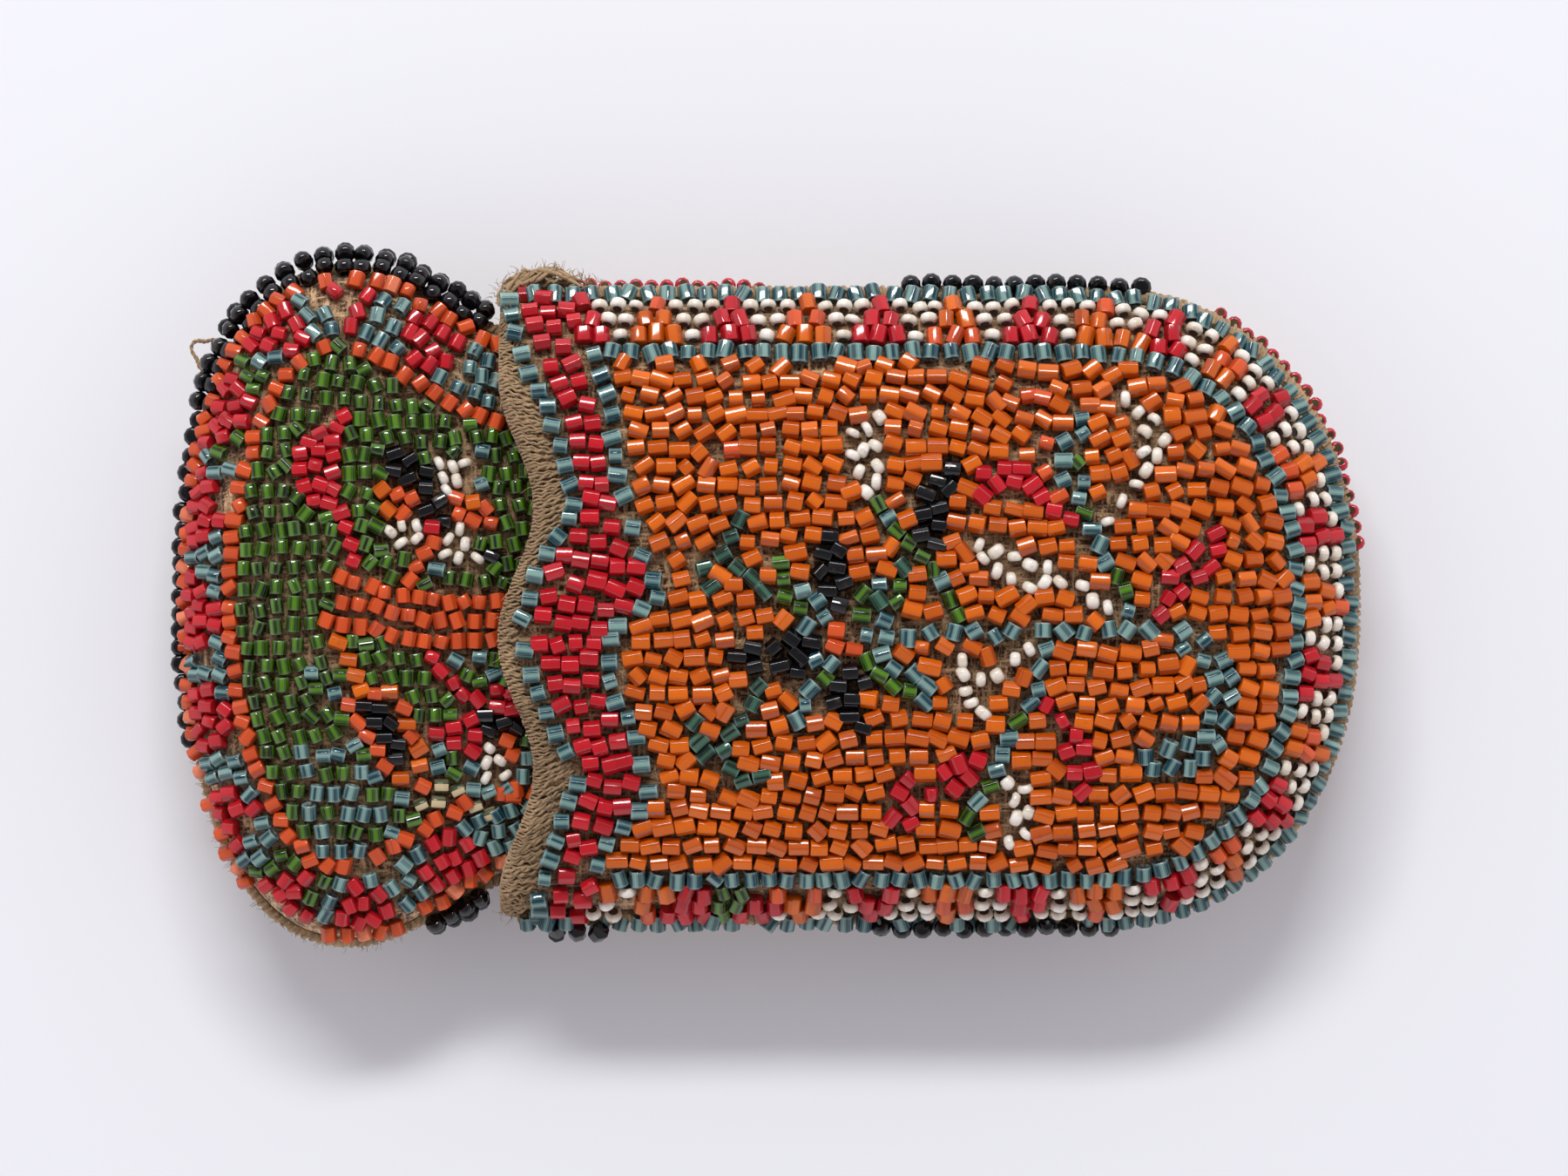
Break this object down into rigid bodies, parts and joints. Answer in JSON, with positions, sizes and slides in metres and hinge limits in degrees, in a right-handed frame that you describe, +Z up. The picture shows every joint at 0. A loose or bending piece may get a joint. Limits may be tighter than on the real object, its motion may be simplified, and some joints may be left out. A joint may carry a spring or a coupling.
{
  "type": "beaded cigarette pouch",
  "caption": "Flat cloth pouch covered with glass seed beads: a rounded pocket slides by its open tongue into a sleeve with a scalloped, bound mouth and a beaded floral field.",
  "frame": {"origin": "centre of the bounding box at the level of the surface the pouch lies on", "axes": "+X along the length towards the sleeve's closed end, +Z up out of the beaded front, +Y across"},
  "size_m": [0.1197, 0.0708, 0.0231],
  "materials": {
    "cloth": "coarse brown cotton cloth",
    "stitching": "overcast thread",
    "red_beads": "opaque glossy seed beads",
    "orange_beads": "opaque glossy seed beads",
    "white_beads": "opaque seed beads",
    "green_beads": "translucent seed beads",
    "black_beads": "glossy seed beads"
  },
  "bodies": {
    "sleeve": {"sleeve_front_cloth": "cloth", "sleeve_back_cloth": "cloth", "sleeve_mouth_binding": "stitching", "sleeve_mouth_band_beads": "red_beads", "sleeve_field_beads": "orange_beads", "sleeve_border_beads": "white_beads", "sleeve_back_field_beads": "orange_beads", "sleeve_top_black_edging": "black_beads", "sleeve_bottom_black_edging": "black_beads", "sleeve_corner_black_edging": "black_beads", "sleeve_top_red_edging": "red_beads", "sleeve_end_red_edging": "red_beads"},
    "pocket": {"pocket_front_cloth": "cloth", "pocket_back_cloth": "cloth", "pocket_tongue_hem": "stitching", "pocket_field_beads": "green_beads", "pocket_border_beads": "red_beads", "pocket_back_field_beads": "green_beads", "pocket_edging_beads": "black_beads"}
  },
  "joints": [
    {"name": "pocket_slide", "type": "slide", "parent": "sleeve", "child": "pocket", "axis": [-1, 0, 0], "range_m": [0, 0.066]}
  ]
}
